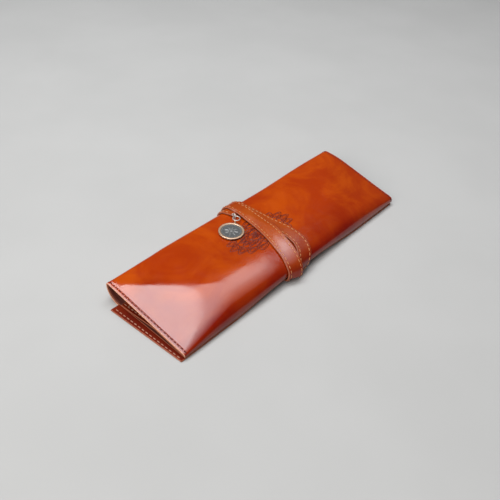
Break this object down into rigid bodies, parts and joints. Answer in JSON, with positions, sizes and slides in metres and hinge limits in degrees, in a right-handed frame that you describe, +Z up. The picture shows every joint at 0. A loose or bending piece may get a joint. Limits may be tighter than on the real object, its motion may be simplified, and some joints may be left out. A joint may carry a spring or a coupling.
{
  "type": "roll-up pencil case",
  "caption": "Leather pencil case folded in three, open at both ends, with a long strap wound round it and a coin charm on the strap's tail.",
  "frame": {"origin": "under the middle of the whole object, on the surface it lies on", "axes": "+X along the case towards its fuller open end, +Y towards the back fold, +Z up"},
  "size_m": [0.2108, 0.0712, 0.0199],
  "materials": {
    "cover_leather": "glossy orange-brown leather with cloudy red mottling and pale cut edges",
    "lining": "matt dark red-brown lining leather",
    "strap_leather": "glossy orange-brown strap leather, stitched along both edges",
    "ring_metal": "worn bright ring wire",
    "coin_metal": "antiqued bronze with a grey-silver worn relief"
  },
  "bodies": {
    "base": {"base_cover": "cover_leather", "base_lining": "lining", "pocket_panel": "cover_leather", "pen_loops": "lining", "strap_under_1": "strap_leather", "strap_under_2": "strap_leather", "strap_under_3": "strap_leather", "strap_anchor": "strap_leather"},
    "spine": {"spine_cover": "cover_leather", "spine_lining": "lining", "strap_back_1": "strap_leather", "strap_back_2": "strap_leather", "strap_back_3": "strap_leather"},
    "top": {"top_cover": "cover_leather", "top_lining": "lining", "strap_over_1": "strap_leather", "strap_over_2": "strap_leather", "strap_tail": "strap_leather", "small_ring": "ring_metal"},
    "jump_ring": {"jump_ring": "ring_metal"},
    "coin": {"coin_charm": "coin_metal"}
  },
  "joints": [
    {"name": "back_bottom_fold", "type": "hinge", "parent": "base", "child": "spine", "pos_m": [0.00285, 0.033, 0.003], "axis": [-1, 0, 0], "range_deg": [0, 90]},
    {"name": "back_top_fold", "type": "hinge", "parent": "spine", "child": "top", "pos_m": [0.00285, 0.0338, 0.0166], "axis": [-1, 0, 0], "range_deg": [0, 90]},
    {"name": "jump_ring_swing", "type": "hinge", "parent": "top", "child": "jump_ring", "pos_m": [-0.00635, 0.02065, 0.0179], "axis": [-0.9371, 0.3489, 0], "range_deg": [0, 90]},
    {"name": "coin_swing", "type": "hinge", "parent": "jump_ring", "child": "coin", "pos_m": [-0.00944, 0.0167, 0.0179], "axis": [-0.475, 0.88, 0], "range_deg": [0, 80]}
  ]
}
